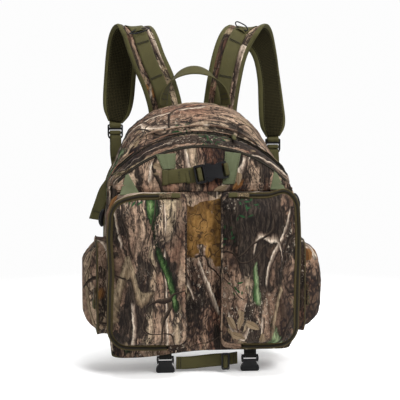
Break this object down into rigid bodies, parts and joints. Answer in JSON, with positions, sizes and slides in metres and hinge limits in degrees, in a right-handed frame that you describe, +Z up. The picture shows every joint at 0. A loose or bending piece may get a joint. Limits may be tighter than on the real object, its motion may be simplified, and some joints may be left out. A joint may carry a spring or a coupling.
{
  "type": "hunting backpack",
  "caption": "Camouflage day pack with a drop-forward organiser flap, paired front pockets, side pockets, padded shoulder straps, grab handle and quick-release buckles.",
  "frame": {"origin": "middle of the underside of the bag, at mid width and mid depth of the main compartment", "axes": "+Z up, -Y towards the front pockets, +Y towards the wearer, +X to the right seen from the front"},
  "size_m": [0.427, 0.3161, 0.6561],
  "materials": {
    "camo_fabric": null,
    "olive_fabric": "plain woven polyester",
    "lining": "coated polyester lining",
    "spacer_mesh": "padded spacer mesh",
    "webbing": "ribbed polypropylene webbing",
    "sage_nylon": "smooth sage green nylon",
    "black_plastic": "moulded acetal, lightly textured",
    "zip_tape": "olive coil zip tape",
    "zip_hardware": "antique finish casting",
    "board": "thin polyethylene sheet",
    "elastic_cord": "braided elastic cord"
  },
  "bodies": {
    "pack": {"main_gusset": "camo_fabric", "back_panel": "olive_fabric", "frame_sheet": "board", "back_pad": "spacer_mesh", "bottom_panel": "camo_fabric", "front_panel": "camo_fabric", "divider": "lining", "main_zip": "zip_tape", "left_pocket_gusset": "camo_fabric", "left_front_zip": "zip_tape", "left_side_gusset": "camo_fabric", "left_side_zip": "zip_tape", "right_pocket_gusset": "camo_fabric", "right_front_zip": "zip_tape", "right_side_gusset": "camo_fabric", "right_side_zip": "zip_tape", "left_lower_webbing": "webbing", "right_lower_webbing": "webbing", "left_bottom_tab": "webbing", "right_bottom_tab": "webbing", "bottom_webbing": "webbing"},
    "organiser_flap": {"organiser_gusset": "camo_fabric", "upper_front_panel": "camo_fabric", "flap_liner": "lining", "organiser_zip": "zip_tape", "front_strap_webbing": "webbing", "left_green_band": "sage_nylon", "right_green_band": "sage_nylon", "front_buckle_socket": "black_plastic", "front_buckle_tab": "webbing"},
    "main_slider": {"main_slider": "zip_hardware"},
    "organiser_slider": {"organiser_slider": "zip_hardware"},
    "main_pull": {"main_pull": "zip_hardware"},
    "organiser_pull": {"organiser_pull": "zip_hardware"},
    "left_front_slider": {"left_front_slider": "zip_hardware"},
    "left_front_pull": {"left_front_pull": "zip_hardware"},
    "left_side_slider": {"left_side_slider": "zip_hardware"},
    "left_side_pull": {"left_side_pull": "zip_hardware"},
    "left_pocket_cover": {"left_pocket_cover": "camo_fabric"},
    "left_side_cover": {"left_side_cover": "camo_fabric"},
    "left_strap": {"left_strap_pad": "spacer_mesh", "left_strap_webbing": "webbing"},
    "left_ladder_lock": {"left_ladder_lock": "black_plastic"},
    "left_cord_loop": {"left_cord_loop": "elastic_cord"},
    "left_bottom_buckle": {"left_bottom_buckle": "black_plastic"},
    "right_front_slider": {"right_front_slider": "zip_hardware"},
    "right_front_pull": {"right_front_pull": "zip_hardware"},
    "right_side_slider": {"right_side_slider": "zip_hardware"},
    "right_side_pull": {"right_side_pull": "zip_hardware"},
    "right_pocket_cover": {"right_pocket_cover": "camo_fabric"},
    "right_side_cover": {"right_side_cover": "camo_fabric"},
    "right_strap": {"right_strap_pad": "spacer_mesh", "right_strap_webbing": "webbing"},
    "right_ladder_lock": {"right_ladder_lock": "black_plastic"},
    "right_cord_loop": {"right_cord_loop": "elastic_cord"},
    "right_bottom_buckle": {"right_bottom_buckle": "black_plastic"},
    "grab_handle": {"grab_handle": "webbing"},
    "front_buckle_plug": {"front_buckle_plug": "black_plastic", "front_strap_loop": "webbing"},
    "bottom_tri_glide": {"bottom_tri_glide": "black_plastic"}
  },
  "joints": [
    {"name": "organiser_flap_fold", "type": "hinge", "parent": "pack", "child": "organiser_flap", "pos_m": [0, -0.075, 0.3], "axis": [1, 0, 0], "range_deg": [0, 60]},
    {"name": "main_zip_travel", "type": "hinge", "parent": "pack", "child": "main_slider", "pos_m": [0, -0.0095, 0.186], "axis": [0, 1, 0], "range_deg": [-60, 28]},
    {"name": "organiser_zip_travel", "type": "hinge", "parent": "organiser_flap", "child": "organiser_slider", "pos_m": [0, -0.046, 0.157], "axis": [0, 1, 0], "range_deg": [-3, 76]},
    {"name": "main_pull_lift", "type": "hinge", "parent": "main_slider", "child": "main_pull", "pos_m": [0.06098, -0.0095, 0.39186], "axis": [-0.9588, 0, 0.284], "range_deg": [0, 80]},
    {"name": "organiser_pull_lift", "type": "hinge", "parent": "organiser_slider", "child": "organiser_pull", "pos_m": [-0.13711, -0.046, 0.33249], "axis": [0, 1, 0], "range_deg": [0, 80]},
    {"name": "left_front_zip_travel", "type": "slide", "parent": "pack", "child": "left_front_slider", "axis": [-1, 0, 0], "range_m": [0, 0.05]},
    {"name": "left_front_pull_lift", "type": "hinge", "parent": "left_front_slider", "child": "left_front_pull", "pos_m": [-0.076, -0.09145, 0.28948], "axis": [0, -0.2696, -0.963], "range_deg": [0, 80]},
    {"name": "left_side_zip_travel", "type": "slide", "parent": "pack", "child": "left_side_slider", "axis": [0, 0, 1], "range_m": [-0.035, 0.06]},
    {"name": "left_side_pull_lift", "type": "hinge", "parent": "left_side_slider", "child": "left_side_pull", "pos_m": [-0.19845, -0.04868, 0.112], "axis": [-0.2696, 0.963, 0], "range_deg": [0, 80]},
    {"name": "left_front_pocket_open", "type": "hinge", "parent": "pack", "child": "left_pocket_cover", "pos_m": [-0.033, -0.0846, 0.15], "axis": [0, 0, 1], "range_deg": [0, 90]},
    {"name": "left_side_pocket_open", "type": "hinge", "parent": "pack", "child": "left_side_cover", "pos_m": [-0.1916, 0.064, 0.114], "axis": [0, 0, -1], "range_deg": [0, 75]},
    {"name": "left_strap_swing", "type": "hinge", "parent": "pack", "child": "left_strap", "pos_m": [-0.052, 0.107, 0.41], "axis": [1, 0, 0], "range_deg": [-15, 6], "stiffness_Nm_per_rad": 0.5},
    {"name": "left_ladder_lock_tilt", "type": "hinge", "parent": "left_strap", "child": "left_ladder_lock", "pos_m": [-0.148, 0.164, 0.4036], "axis": [1, 0, 0], "range_deg": [-10, 27]},
    {"name": "left_cord_loop_flip", "type": "hinge", "parent": "left_strap", "child": "left_cord_loop", "pos_m": [-0.10363, 0.13176, 0.58904], "axis": [-0.995, 0, -0.0995], "range_deg": [0, 40]},
    {"name": "left_bottom_buckle_swing", "type": "hinge", "parent": "pack", "child": "left_bottom_buckle", "pos_m": [-0.068, -0.046, -0.0152], "axis": [1, 0, 0], "range_deg": [-45, 45]},
    {"name": "right_front_zip_travel", "type": "slide", "parent": "pack", "child": "right_front_slider", "axis": [1, 0, 0], "range_m": [0, 0.05]},
    {"name": "right_front_pull_lift", "type": "hinge", "parent": "right_front_slider", "child": "right_front_pull", "pos_m": [0.076, -0.09145, 0.28948], "axis": [0, 0.2696, 0.963], "range_deg": [0, 80]},
    {"name": "right_side_zip_travel", "type": "slide", "parent": "pack", "child": "right_side_slider", "axis": [0, 0, 1], "range_m": [-0.035, 0.06]},
    {"name": "right_side_pull_lift", "type": "hinge", "parent": "right_side_slider", "child": "right_side_pull", "pos_m": [0.19845, -0.04868, 0.112], "axis": [-0.2696, -0.963, 0], "range_deg": [0, 80]},
    {"name": "right_front_pocket_open", "type": "hinge", "parent": "pack", "child": "right_pocket_cover", "pos_m": [0.033, -0.0846, 0.15], "axis": [0, 0, -1], "range_deg": [0, 90]},
    {"name": "right_side_pocket_open", "type": "hinge", "parent": "pack", "child": "right_side_cover", "pos_m": [0.1916, 0.064, 0.114], "axis": [0, 0, 1], "range_deg": [0, 75]},
    {"name": "right_strap_swing", "type": "hinge", "parent": "pack", "child": "right_strap", "pos_m": [0.052, 0.107, 0.41], "axis": [1, 0, 0], "range_deg": [-15, 6], "stiffness_Nm_per_rad": 0.5},
    {"name": "right_ladder_lock_tilt", "type": "hinge", "parent": "right_strap", "child": "right_ladder_lock", "pos_m": [0.164, 0.167, 0.3736], "axis": [1, 0, 0], "range_deg": [-10, 27]},
    {"name": "right_cord_loop_flip", "type": "hinge", "parent": "right_strap", "child": "right_cord_loop", "pos_m": [0.09607, 0.12982, 0.58961], "axis": [0.995, 0, -0.0995], "range_deg": [-20, 20]},
    {"name": "right_bottom_buckle_swing", "type": "hinge", "parent": "pack", "child": "right_bottom_buckle", "pos_m": [0.09, -0.046, -0.0152], "axis": [1, 0, 0], "range_deg": [-45, 45]},
    {"name": "grab_handle_fold", "type": "hinge", "parent": "pack", "child": "grab_handle", "pos_m": [0, 0.084, 0.445], "axis": [1, 0, 0], "range_deg": [-8, 35]},
    {"name": "front_buckle_release", "type": "slide", "parent": "organiser_flap", "child": "front_buckle_plug", "axis": [-0.9851, -0.0232, -0.1705], "range_m": [0, 0.036]},
    {"name": "tri_glide_travel", "type": "slide", "parent": "pack", "child": "bottom_tri_glide", "axis": [1, 0, 0], "range_m": [-0.04, 0.008]}
  ]
}
